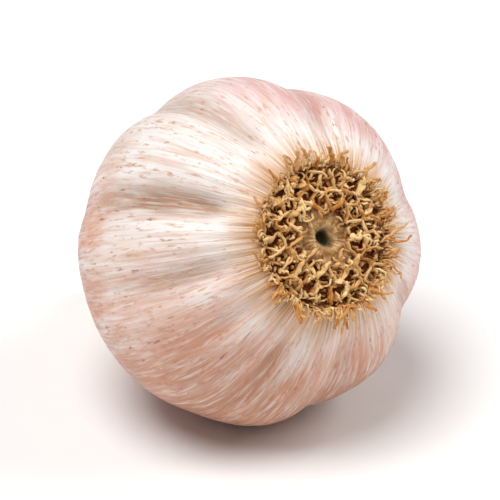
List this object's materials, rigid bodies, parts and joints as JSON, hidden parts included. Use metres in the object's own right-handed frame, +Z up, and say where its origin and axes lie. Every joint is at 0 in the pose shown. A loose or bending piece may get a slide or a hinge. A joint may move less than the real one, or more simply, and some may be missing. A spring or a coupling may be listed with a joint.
{
  "type": "garlic bulb",
  "caption": "Whole hardneck garlic bulb in its papery skin, lying on its side, with dried roots on the plate and the flower stalk cut off short at the neck.",
  "frame": {"origin": "centre of the bounding box in X and Y, on the surface that it lies on", "axes": "+Z up; +Y towards the cut neck, so the roots face -Y and up"},
  "size_m": [0.055, 0.0679, 0.0539],
  "materials": {
    "papery_skin": "satin papery skin, off-white with peach and pink fibres",
    "dried_root": "dry, matt, corky and fibrous",
    "dried_stalk": "dry, matt, cut pith"
  },
  "bodies": {
    "root": {"bulb": "papery_skin", "root_tuft": "dried_root", "flower_stalk": "dried_stalk"}
  },
  "joints": []
}
